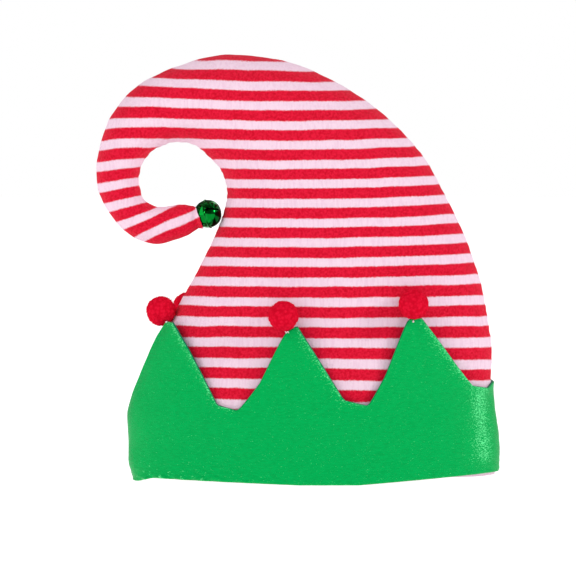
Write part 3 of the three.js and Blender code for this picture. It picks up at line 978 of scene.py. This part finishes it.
@dataclass
class Crown:
    """The striped plush crown with its stuffed curl. Millimetres."""

    form: HatForm
    bell: Bell
    wall: float = 3.0
    columns: int = 220
    rows: int = 210
    inside_rows: int = 60
    hollow_end: float = 12.0
    bend_start: float = 18.0
    seam_depth: float = 1.1
    seam_width: float = 1.7
    lip_height: float = 0.45
    lip_distance: float = 3.4
    lip_width: float = 2.2
    pucker_pitch: float = 7.5
    pucker_height: float = 0.3
    pucker_reach: float = 6.0
    curl_row: float = 9.0
    curl_row_length: float = 12.0
    inside_cap: float = 0.8
    inside_dome: float = 12.0
    hem_peek: float = 2.2
    peek_start: float = 95.0
    peek_end: float = 135.0
    peek_height: float = 20.0
    collar_rows: float = 1.8
    collar_rise: float = 11.0
    collar_back: float = 5.8
    collar_drop: float = 2.6
    collar_radius: float = 7.3
    collar_wall: float = 0.8
    brim_share: float = 0.6
    edge_share: float = 0.7
    gathers: int = 11
    gather_height: float = 0.22

    def __post_init__(self) -> None:
        """Finds how far the limb's end moves to reach the bell's seat."""
        seat = self.bell.centre - self.bell.axis * (self.bell.length / 2 + self.bell.gap)
        tip = self.form.section(self.form.last).centre + self.form.shift
        self.tip_shift = seat - tip

    def section(self, row: float) -> CutSection:
        """Cuts the crown at a row, with the limb's end bent to the bell."""
        cut = self.form.section(row)
        bend = smooth(row, self.bend_start, self.form.last)
        return CutSection(cut.centre + self.tip_shift * bend, cut.across, cut.half_width, cut.half_depth)

    def relief(self, row: float, turn: float, cut: CutSection, point: Vector) -> float:
        """Works out the cloth's seams, puckers and soft folds.

        Args:
            row: The row of the point.
            turn: Its share of a turn.
            cut: The cross section at that row.
            point: The point before relief.

        Returns:
            How far the cloth stands out there.
        """
        from_seam = min(abs(turn), abs(turn - 0.5), abs(turn - 1)) * FULL_TURN
        seam_distance = from_seam * max(cut.half_depth, 4.0)
        size = smooth(cut.half_width, 3, 24)
        groove = -self.seam_depth * math.exp(-((seam_distance / self.seam_width) ** 2))
        lips = self.lip_height * math.exp(-(((seam_distance - self.lip_distance) / self.lip_width) ** 2))
        steps = self.form.stripe_steps
        along = steps[min(int(row * self.form.samples), len(steps) - 1)]
        if row > self.curl_row:
            along = row * self.curl_row_length
        ripple = math.sin(FULL_TURN * along / self.pucker_pitch + 2.5 * noise.noise(point * 0.05))
        puckers = self.pucker_height * ripple * math.exp(-((seam_distance / self.pucker_reach) ** 2))
        inner_side = smooth(math.cos(turn * FULL_TURN), 0.1, 0.9)
        curl = smooth(row, 10, 14) * smooth(self.form.last - row, 0.4, 2.5)
        folds = 0.3 * curl * inner_side * math.sin(FULL_TURN * row * 0.75 + 3 * noise.noise(point * 0.03))
        soft = 1.3 * noise.noise(point * 0.017) + 0.5 * noise.noise(point * 0.06)
        outer_side = smooth(-math.cos(turn * FULL_TURN), 0.2, 0.95)
        full = 0.0
        for part in FULLNESS:
            full += part.amount * math.exp(-(((row - part.row) / part.reach) ** 2))
        return size * (groove + lips + puckers + soft) + folds + full * outer_side + self.gather(row, turn)

    def gather(self, row: float, turn: float) -> float:
        """Returns how far the cloth stands out in the gathers where the tip closes on the bell."""
        wander = 1.2 * math.sin(FULL_TURN * turn * 3)
        wave = math.sin(FULL_TURN * turn * self.gathers + wander)
        return self.gather_height * smooth(row, self.form.last - 1.1, self.form.last) * wave

    def outside(self, around: float, along: float) -> tuple[Vector, tuple[float, float]]:
        """Places a point of the plush's outside.

        Args:
            around: The share of a turn.
            along: The share of the way from the hem to the tip.

        Returns:
            The point in the frame's metres, and its stripe height and inner side numbers.
        """
        last = self.form.last
        rows_and_cap = last + self.collar_rows
        row = along * rows_and_cap
        cut = self.section(min(row, last))
        point = self.form.around(cut, around, 0)
        stripe = self.form.stripe_height(min(row, last), point, cut)
        if row <= last:
            point = self.form.around(cut, around, self.relief(row, around, cut, point))
        else:
            point = self.form.around(cut, around, self.gather(last, around))
            share = min(1.0, (row - last) / self.collar_rows)
            point, stripe = self.collar_point(point, around, share)
        point = self.settled(point)
        return self.bell.pressed_out(point) * MM, (stripe, 0.0)

    def collar_point(self, start: Vector, around: float, share: float) -> tuple[Vector, float]:
        """Carries the tip's cloth on over the bell's back, round its edge and in under the bell.

        Args:
            start: The point on the last section.
            around: The share of a turn.
            share: The share of the way from the last section to the middle of the seat.

        Returns:
            The point and its stripe height, in the hat's own millimetres.
        """
        angle, rise = around * FULL_TURN, math.radians(self.collar_rise)
        forward = Vector((math.cos(rise), 0, math.sin(rise)))
        upward = Vector((-forward.z, 0, forward.x))
        away = upward * math.cos(angle) + Vector((0, -math.sin(angle), 0))
        centre = self.bell.centre - self.form.shift
        centre = centre - forward * self.collar_back - upward * self.collar_drop
        gathered = self.gather(self.form.last, around)
        brim = centre + away * (self.collar_radius + self.collar_wall + gathered)
        edge = centre + away * (self.collar_radius + gathered) + forward * 0.3
        last = self.form.last
        stripe = self.form.stripe_height(last, brim, self.section(last))
        seat = self.section(last).centre
        if share < self.brim_share:
            passed = share / self.brim_share
            height = blend(self.form.stripe_height(last, start, self.section(last)), stripe, passed)
            return start.lerp(brim, passed), height
        if share < self.edge_share:
            passed = (share - self.brim_share) / (self.edge_share - self.brim_share)
            return brim.lerp(edge, passed), stripe
        return edge.lerp(seat, (share - self.edge_share) / (1 - self.edge_share)), stripe

    def settled(self, point: Vector) -> Vector:
        """Lifts the hem's ends and moves a point to the hat's place in the frame, in millimetres."""
        low = smooth(self.peek_height - point.z, 0, self.peek_height)
        peek = self.hem_peek * smooth(point.x, self.peek_start, self.peek_end) * low
        return point + self.form.hem_shift(point) - Vector((0, 0, peek)) + self.form.shift

    def inside(self, around: float, along: float) -> tuple[Vector, tuple[float, float]]:
        """Places a point of the cloth's inside, from the hem up to the stuffing.

        Args:
            around: The share of a turn.
            along: The share of the way from the hem to the stuffing's middle.

        Returns:
            The point in the frame's metres, and its stripe height and inner side numbers.
        """
        row = along * (self.hollow_end + self.inside_cap)
        cut = self.section(min(row, self.hollow_end))
        point = self.form.around(cut, around, -self.wall)
        stripe = self.form.stripe_height(min(row, self.hollow_end), point, cut)
        if row > self.hollow_end:
            share = min(1.0, (row - self.hollow_end) / self.inside_cap)
            forward = (self.section(self.hollow_end + 0.1).centre - cut.centre).normalized()
            narrowed = (point - cut.centre) * math.sqrt(max(0.0, 1 - share**2))
            point = cut.centre + narrowed + forward * self.inside_dome * share
        soft = 0.8 * noise.noise(point * 0.03)
        point += (cut.centre - point).normalized() * soft if (cut.centre - point).length > 1 else Vector()
        return self.settled(point) * MM, (stripe, 1.0)

    def build(self, plush: bpy.types.Material) -> bpy.types.Object:
        """Builds the crown as one closed piece."""
        layers = ("stripe_mm", "inner_side")
        mesh = wrapped_grid(self.columns, self.rows, self.outside, layers)
        inside = wrapped_grid(self.columns, self.inside_rows, self.inside, layers)
        bmesh.ops.reverse_faces(inside, faces=inside.faces)
        spare = bpy.data.meshes.new("crown_inside")
        inside.to_mesh(spare)
        inside.free()
        mesh.from_mesh(spare)
        open_edges = [edge for edge in mesh.edges if edge.is_boundary]
        bmesh.ops.bridge_loops(mesh, edges=open_edges)
        bmesh.ops.recalc_face_normals(mesh, faces=mesh.faces)
        crown = to_piece(mesh, "plush_crown", plush)
        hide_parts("crown")
        return crown


@dataclass(frozen=True)
class CuffStop:
    """A valley or a shoulder of a point: turns at the hem and at the edge, and a height share."""

    foot: float
    edge: float
    height: float


# Where the first and last stops lie is the left end, and the turns go over the near side first.
CUFF_STOPS: tuple[CuffStop, ...] = (
    CuffStop(0, 0, 0.172),
    CuffStop(0.104, 0.037, 0.378),
    CuffStop(0.112, 0.056, 0.376),
    CuffStop(0.168, 0.1622, 0.1842),
    CuffStop(0.184, 0.1819, 0.1724),
    CuffStop(0.23, 0.21, 0.3588),
    CuffStop(0.24, 0.2185, 0.3715),
    CuffStop(0.28, 0.277, 0.1987),
    CuffStop(0.298, 0.298, 0.1855),
    CuffStop(0.337, 0.3288, 0.3862),
    CuffStop(0.348, 0.3445, 0.3881),
    CuffStop(0.425, 0.42, 0.2259),
    CuffStop(0.456, 0.4582, 0.2185),
    CuffStop(0.5, 0.5, 0.234),
    CuffStop(0.598, 0.603, 0.378),
    CuffStop(0.652, 0.653, 0.195),
    CuffStop(0.67, 0.672, 0.186),
    CuffStop(0.726, 0.738, 0.38),
    CuffStop(0.803, 0.803, 0.184),
    CuffStop(0.821, 0.821, 0.175),
    CuffStop(0.861, 0.902, 0.375),
    CuffStop(1, 1, 0.172),
)


# The curve of a flank that rises from a valley: the share of the way along and the share of the rise.
RISING_FLANK: tuple[tuple[float, float], ...] = (
    (0, 0),
    (0.06, 0.025),
    (0.22, 0.15),
    (0.45, 0.345),
    (0.64, 0.585),
    (0.78, 0.76),
    (0.9, 0.9),
    (1, 1),
)


@dataclass
class Cuff:
    """The velour cuff with six points. Millimetres."""

    form: HatForm
    columns: int = 420
    rows: int = 44
    round_rows: int = 4
    flare: float = 4.5
    end_tuck: float = 1.8
    end_bulge: float = 0.77
    round_share: float = 0.12
    mean_radius: float = 100.0
    steepest: float = 4.0
    nearest: float = 0.3
    pucker_height: float = 0.25
    strong_pucker: float = 0.9
    pucker_reach: float = 11.0
    pucker_pitch: float = 15.0
    pucker_slant: float = 2.6
    roll_height: float = 0.5
    roll_reach: float = 5.0
    slope_step: float = 0.002
    # Where the painted highlights lie: glints along falling and rising flanks, a band of sheen by each
    # end, glints on creases and along the hem.
    flank_glint_reach: float = 2.2
    last_flank_glint_reach: float = 3.0
    rising_glint: float = 0.35
    rising_glint_reach: float = 1.2
    side_sheen: float = 0.8
    side_sheen_turn: float = 0.064
    side_sheen_reach: float = 0.024
    crease_glint: float = 1.6
    crease_glint_reach: float = 8.0
    hem_glint: float = 0.6
    hem_glint_reach: float = 0.7

    def flank_rise(self, share: float) -> float:
        """Follows one rising flank from its valley to its tip."""
        for (start, low), (end, high) in zip(RISING_FLANK, RISING_FLANK[1:]):
            if share <= end:
                local = (share - start) / (end - start)
                return blend(low, high, local)
        return 1.0

    def column(self, foot: float) -> tuple[float, float]:
        """Finds where a column that starts at this turn ends.

        Args:
            foot: The column's turn at the hem.

        Returns:
            Its turn at the edge and its height.
        """
        index = next(i for i in range(1, len(CUFF_STOPS)) if foot <= CUFF_STOPS[i].foot)
        start, end = CUFF_STOPS[index - 1], CUFF_STOPS[index]
        share = (foot - start.foot) / (end.foot - start.foot)
        rising = end.height > start.height
        rise = self.flank_rise(share) if rising else share
        if start.edge == 0 or end.edge == 1:
            rise = share**self.end_bulge if rising else 1 - (1 - share) ** self.end_bulge
        height = blend(start.height, end.height, rise) * self.form.height
        across_start = self.across_at(start.edge, start.height)
        across = blend(across_start, self.across_at(end.edge, end.height), share)
        cut = self.form.section(self.form.row_at_height(height))
        cosine = max(-1.0, min(1.0, (cut.centre.x - across) / cut.half_width))
        angle = math.acos(cosine) / FULL_TURN
        return (angle if start.edge < 0.5 else 1 - angle), height

    def across_at(self, turn: float, height_share: float) -> float:
        """Returns how far across the hat a turn lies at a height."""
        cut = self.form.section(self.form.row_at_height(height_share * self.form.height))
        return cut.centre.x - math.cos(turn * FULL_TURN) * cut.half_width

    def edge_slope(self, foot: float) -> float:
        """Returns how steep the cuff's edge is over a column."""
        low, high = max(0.0, foot - self.slope_step), min(1.0, foot + self.slope_step)
        rise = self.column(high)[1] - self.column(low)[1]
        length = (high - low) * FULL_TURN * self.mean_radius
        return abs(rise / length)

    def relief(self, turn: float, height: float, top: float, point: Vector) -> float:
        """Works out the cuff's puckers and soft waves.

        Args:
            turn: The share of a turn.
            height: The point's height.
            top: The height of the edge over it.
            point: The point before relief.

        Returns:
            How far the velour stands out there.
        """
        strength = self.pucker_height + self.puckered(turn, point)
        puckers = strength * math.exp(-height / self.pucker_reach) * self.ripple(height, point)
        rolled = self.roll_height * math.exp(-(((top - height) / self.roll_reach) ** 2))
        soft = 1.1 * noise.noise(point * 0.022) + 0.35 * noise.noise(point * 0.09)
        return puckers + rolled + soft * smooth(height, 0, 25)

    def puckered(self, turn: float, point: Vector) -> float:
        """Returns how strongly the hem is puckered at a point: most on the left of both sides."""
        leftward = smooth(-point.x, 20, 120)
        return self.strong_pucker * leftward * smooth(min(turn, 1 - turn), 0.01, 0.06)

    def ripple(self, height: float, point: Vector) -> float:
        """Returns the slanted puckers' wave, from -1 to 1."""
        slanted = point.x + height * self.pucker_slant
        return math.sin(FULL_TURN * slanted / self.pucker_pitch + 3 * noise.noise(point * 0.04))

    def place(self, around: float, along: float) -> tuple[Vector, tuple[float, ...]]:
        """Places a point of the cuff's closed profile: up the outside, over, down and under.

        Args:
            around: The share of a turn at the hem.
            along: The share of the way round the profile.

        Returns:
            The point in the frame's metres, its share of painted highlight on the nap and its share of
            painted shade on the inner side.
        """
        edge, top = self.column(around)
        half = self.form.cuff_wall / 2
        reach = min(half * math.sqrt(1 + self.edge_slope(around) ** 2), self.steepest)
        arc = self.round_share
        middle = self.form.cuff_clearance + half
        if along < 0.5 - arc or 0.5 <= along < 1 - arc:
            outside = along < 0.5
            share = (along if outside else along - 0.5) / (0.5 - arc)
            share = share if outside else 1 - share
            height = blend(half, top - reach, share)
            offset = middle + (half if outside else -half)
            # the inner side takes the painted shade in full, the outside none
            gap_shade = 0.0 if outside else 1.0
        else:
            over = along < 0.5
            angle = math.pi * ((along - (0.5 - arc if over else 1 - arc)) / arc)
            if over:
                height = top - reach + reach * math.sin(angle)
                offset = middle + half * math.cos(angle)
                # painted shade over the inner half of the rounded top edge, standing in for the shadowed
                # gap behind the cuff
                gap_shade = smooth(angle, 0.45, 1.0)
            else:
                height = half - half * math.sin(angle)
                offset = middle - half * math.cos(angle)
                # the painted shade fades out round the hem's fold towards the outside
                gap_shade = 1 - smooth(angle, 0.4, 1.2)
        share = height / top
        turn = blend(around, edge, share)
        lowest = CUFF_STOPS[0].height * self.form.height
        at_end = 1 - smooth(abs(turn - 0.5), 0.03, 0.09)
        offset += (1 - at_end) * self.flare * min(1.0, max(0.0, height / lowest - 1)) ** 2
        offset -= self.end_tuck * at_end * smooth(height, 20, top)
        cut = self.form.section(self.form.row_at_height(height))
        point = self.form.around(cut, turn, offset)
        offset += self.relief(turn, height, top, point)
        point = self.form.around(cut, turn, max(offset, self.nearest))
        point += self.form.hem_shift(point)
        return self.form.to_frame(point), (self.painted_sheen(around, turn, height, top, point), gap_shade)

    def painted_sheen(self, foot: float, turn: float, height: float, top: float, point: Vector) -> float:
        """Works out the painted highlights on the nap: glints on falling flanks, a band of sheen by an
        end, glints on creases and along the hem.

        Args:
            foot: The column's turn at the hem.
            turn: The point's turn.
            height: The point's height.
            top: The height of the edge over it.
            point: The point itself.

        Returns:
            A share from 0 to 1.
        """
        after = self.column(min(1.0, foot + self.slope_step))[1]
        before = self.column(max(0.0, foot - self.slope_step))[1]
        distance = (top - height) / math.sqrt(1 + self.edge_slope(foot) ** 2)
        last_flank = smooth(turn, 0.33, 0.36) * smooth(0.5 - turn, 0, 0.04)
        reach = self.flank_glint_reach + self.last_flank_glint_reach * last_flank
        flank = self.rising_glint * math.exp(-distance / self.rising_glint_reach)
        if after < before:
            flank = math.exp(-distance / reach)
        # a band of painted sheen on both sides of the right end
        from_band = (abs(turn - 0.5) - self.side_sheen_turn) / self.side_sheen_reach
        side = self.side_sheen * math.exp(-(from_band**2)) * smooth(height, 0, 16)
        # painted glints on the tops of the hem's creases
        crease = self.crease_glint * self.puckered(turn, point) * math.exp(-height / self.crease_glint_reach)
        crease *= smooth(self.ripple(height, point), 0.8, 1)
        # a painted glint along the hem's fold
        hem = self.hem_glint * math.exp(-height / self.hem_glint_reach)
        return max(flank, side, crease, hem)

    def build(self, velour: bpy.types.Material) -> bpy.types.Object:
        """Builds the cuff as one closed band."""
        profile_rows = 2 * (self.rows + self.round_rows)
        mesh = wrapped_grid(self.columns, profile_rows, self.place, ("painted_sheen", "gap_shade"))
        bmesh.ops.recalc_face_normals(mesh, faces=mesh.faces)
        cuff = to_piece(mesh, "velour_cuff", velour)
        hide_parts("cuff")
        return cuff


# How far each pompom hangs from its solid's middle, in millimetres.
POMPOM_SAGS: tuple[tuple[float, float, float], ...] = (
    (1.1, 0, -1.7),
    (0.2, -0.8, -2.6),
    (-1.4, -0.6, -1.5),
    (0, 0.5, -1.5),
    (0, 0.8, -2.0),
    (0.5, 0, -1.0),
)


@dataclass
class Pompom:
    """One tufted ball. Millimetres."""

    number: int
    sag: Vector
    diameter: float = 24.5
    tuft_depth: float = 0.7
    tuft_pitch: float = 2.6
    hairs: int = 520
    hair_length: float = 1.3
    hair_width: float = 0.28
    hair_tip: float = 0.04
    hair_root: float = 1.1

    def build(self, yarn: bpy.types.Material) -> bpy.types.Object:
        """Builds the ball where its solid is."""
        low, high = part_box(f"pompom_{self.number}")
        centre = (Vector(low) + Vector(high)) / 2 + self.sag * MM
        chance = random.Random(self.number)
        drift = Vector((self.number * 31.0, 0, 0))
        mesh = bmesh.new()
        tuft = mesh.verts.layers.float.new("tuft")
        bmesh.ops.create_icosphere(mesh, subdivisions=6, radius=1)
        radius = self.diameter / 2
        for vert in mesh.verts:
            spot = vert.co * radius
            distances = noise.voronoi(spot / self.tuft_pitch + drift)[0]
            crest = 1 - min(1.0, distances[0] * 1.25)
            lump = noise.noise(spot * 0.16 + drift)
            # the crest share also sets the yarn's painted shade in the pits
            vert[tuft] = crest
            vert.co = spot.normalized() * (radius - self.tuft_depth * (1 - crest) + 0.55 * lump - 0.3)
        self.add_hairs(mesh, tuft, chance)
        for vert in mesh.verts:
            vert.co = vert.co * MM + centre
        ball = to_piece(mesh, f"yarn_ball_{self.number}", yarn)
        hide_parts(f"pompom_{self.number}")
        return ball

    def add_hairs(
        self,
        mesh: bmesh.types.BMesh,
        tuft: bmesh.types.BMLayerItem,
        chance: random.Random,
    ) -> None:
        """Adds fine yarn ends all over the ball.

        Args:
            mesh: The ball's mesh, in millimetres about its centre.
            tuft: The layer that holds how high the yarn stands.
            chance: The seeded source of their places.
        """
        radius = self.diameter / 2
        for _ in range(self.hairs):
            height = chance.uniform(-1, 1)
            angle = chance.uniform(0, FULL_TURN)
            flat = math.sqrt(1 - height * height)
            way = Vector((flat * math.cos(angle), flat * math.sin(angle), height))
            lean = Vector((chance.gauss(0, 0.35), chance.gauss(0, 0.35), chance.gauss(0, 0.35)))
            way_out = (way + lean).normalized()
            length = self.hair_length * chance.uniform(0.6, 1.2)
            middle = way * (radius - self.hair_root) + way_out * (length / 2)
            spin = Vector((0, 0, 1)).rotation_difference(way_out).to_matrix().to_4x4()
            made = bmesh.ops.create_cone(
                mesh,
                cap_ends=False,
                segments=3,
                radius1=self.hair_width / 2,
                radius2=self.hair_tip,
                depth=length,
                matrix=Matrix.Translation(middle) @ spin,
            )
            for vert in made["verts"]:
                vert[tuft] = 1.0


@dataclass(frozen=True)
class Tack:
    """Where the stitches of one tip lie: a turn and a share of the hat's height."""

    turn: float
    height: float


TACKS: tuple[Tack, ...] = (
    Tack(0.0403, 0.3755),
    Tack(0.2106, 0.3555),
    Tack(0.3342, 0.381),
    Tack(0.603, 0.37),
    Tack(0.738, 0.37),
    Tack(0.902, 0.367),
)


@dataclass
class Tacks:
    """The short stitches that hold each pompom to its tip. Millimetres."""

    form: HatForm
    flare: float
    proud: float = 0.7
    length: float = 1.7
    thickness: float = 0.8
    stitches: int = 4
    seed: int = 7

    def build(self, thread: bpy.types.Material) -> bpy.types.Object:
        """Builds the stitches of all six tips as one piece."""
        mesh = bmesh.new()
        chance = random.Random(self.seed)
        for tack in TACKS:
            height = tack.height * self.form.height
            cut = self.form.section(self.form.row_at_height(height))
            offset = self.form.cuff_clearance + self.form.cuff_wall + self.flare + self.proud
            spot = self.form.to_frame(self.form.around(cut, tack.turn, offset))
            for _ in range(self.stitches):
                stray = Vector((chance.gauss(0, 0.55), 0, chance.gauss(0, 0.3))) * MM
                self.add_stitch(mesh, spot + stray, chance.uniform(-0.9, 0.9))
        return to_piece(mesh, "tip_stitches", thread)

    def add_stitch(self, mesh: bmesh.types.BMesh, spot: Vector, lean: float) -> None:
        """Adds one stitch to the face of a tip.

        Args:
            mesh: The stitches' mesh.
            spot: The stitch's middle, in metres.
            lean: Its lean from upright, in radians.
        """
        place = Matrix.Translation(spot) @ Matrix.Rotation(lean, 4, "Y")
        shape = Matrix.Diagonal((self.thickness * MM, self.thickness * MM, self.length * MM, 1))
        bmesh.ops.create_uvsphere(mesh, u_segments=8, v_segments=6, radius=0.5, matrix=place @ shape)


@dataclass
class Studio:
    """The pale floor, the white surroundings, the lamps and the camera. Metres."""

    target: Vector = field(default_factory=lambda: Vector((-0.0079, 0.0, 0.1517)))
    view_width: float = 0.4504
    lens: float = 300.0
    sensor: float = 36.0
    elevation: float = 1.5
    floor_size: float = 30.0
    room_light: float = 0.52
    mirrored_light: float = 0.12

    def build_floor(self) -> bpy.types.Object:
        """Lays a plain pale floor under the hem."""
        mesh = bmesh.new()
        bmesh.ops.create_grid(mesh, x_segments=1, y_segments=1, size=self.floor_size)
        data = bpy.data.meshes.new("floor")
        mesh.to_mesh(data)
        mesh.free()
        shader = Shader("floor_white")
        data.materials.append(
            shader.finish(
                Base_Color=(0.3, 0.3, 0.3, 1.0),
                Roughness=1.0,
                Specular_IOR_Level=0.0,
                Emission_Color=(1.0, 1.0, 1.0, 1.0),
                Emission_Strength=1.0,
            )
        )
        floor = bpy.data.objects.new("floor", data)
        bpy.context.scene.collection.objects.link(floor)
        return floor

    def build_world(self) -> None:
        """Surrounds the hat with even white that the camera sees as pure white."""
        world = bpy.data.worlds.new("white_room")
        world.use_nodes = True
        bpy.context.scene.world = world
        tree = world.node_tree
        room = tree.nodes["Background"]
        room.inputs["Color"].default_value = (1, 1, 1, 1)
        room.inputs["Strength"].default_value = self.room_light
        seen = tree.nodes.new("ShaderNodeBackground")
        seen.inputs["Color"].default_value = (1, 1, 1, 1)
        seen.inputs["Strength"].default_value = 1.0
        dim = tree.nodes.new("ShaderNodeBackground")
        dim.inputs["Color"].default_value = (1, 1, 1, 1)
        dim.inputs["Strength"].default_value = self.mirrored_light
        path = tree.nodes.new("ShaderNodeLightPath")
        glossy = tree.nodes.new("ShaderNodeMixShader")
        tree.links.new(path.outputs["Is Glossy Ray"], glossy.inputs["Fac"])
        tree.links.new(room.outputs["Background"], glossy.inputs[1])
        tree.links.new(dim.outputs["Background"], glossy.inputs[2])
        final = tree.nodes.new("ShaderNodeMixShader")
        tree.links.new(path.outputs["Is Camera Ray"], final.inputs["Fac"])
        tree.links.new(glossy.outputs["Shader"], final.inputs[1])
        tree.links.new(seen.outputs["Background"], final.inputs[2])
        tree.links.new(final.outputs["Shader"], tree.nodes["World Output"].inputs["Surface"])

    def add_lamp(self, name: str, place: Vector, size: tuple[float, float], power: float) -> None:
        """Adds a soft lamp that points at the hat.

        Args:
            name: The lamp's name.
            place: Where it stands.
            size: Its width and height.
            power: Its power in watts.
        """
        light = bpy.data.lights.new(name, "AREA")
        light.shape = "RECTANGLE"
        light.size, light.size_y = size
        light.energy = power
        lamp = bpy.data.objects.new(name, light)
        lamp.location = place
        lamp.rotation_euler = (self.target - place).to_track_quat("-Z", "Y").to_euler()
        bpy.context.scene.collection.objects.link(lamp)

    def build_camera(self) -> None:
        """Sets up the long lens camera at the photo's angle."""
        data = bpy.data.cameras.new("camera")
        data.lens = self.lens
        data.sensor_width = self.sensor
        distance = self.view_width * self.lens / self.sensor
        data.clip_end = 100.0
        angle = math.radians(self.elevation)
        camera = bpy.data.objects.new("camera", data)
        camera.location = self.target + Vector((0, -math.cos(angle), math.sin(angle))) * distance
        camera.rotation_euler = (self.target - camera.location).to_track_quat("-Z", "Y").to_euler()
        bpy.context.scene.collection.objects.link(camera)
        bpy.context.scene.camera = camera

    def build(self) -> None:
        """Builds the whole studio."""
        bpy.context.scene.view_settings.view_transform = "Standard"
        self.build_camera()
        self.build_floor()
        self.build_world()
        self.add_lamp("key", Vector((2.1, -1.0, 1.2)), (0.5, 0.5), 25.0)
        self.add_lamp("left", Vector((-1.75, -1.2, 1.0)), (1.6, 2.6), 26.0)
        self.add_lamp("back", Vector((0.9, 1.4, 1.5)), (1.0, 1.0), 8.0)


def main() -> None:
    """Builds the hat's pieces in order."""
    logging.basicConfig(level=logging.INFO, format="%(name)s %(message)s")
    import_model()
    Studio().build()
    form = HatForm()
    bell = Bell()
    Crown(form, bell).build(PlushFinish().material())
    cuff = Cuff(form)
    cuff.build(VelourFinish().material())
    yarn = YarnFinish().material()
    for number, sag in enumerate(POMPOM_SAGS, 1):
        Pompom(number, Vector(sag)).build(yarn)
    Tacks(form, cuff.flare).build(ThreadFinish().material())
    bell.build_shell(BellFinish().material())
    bell.build_pellet(SteelFinish().material())


if __name__ == "__main__":
    main()
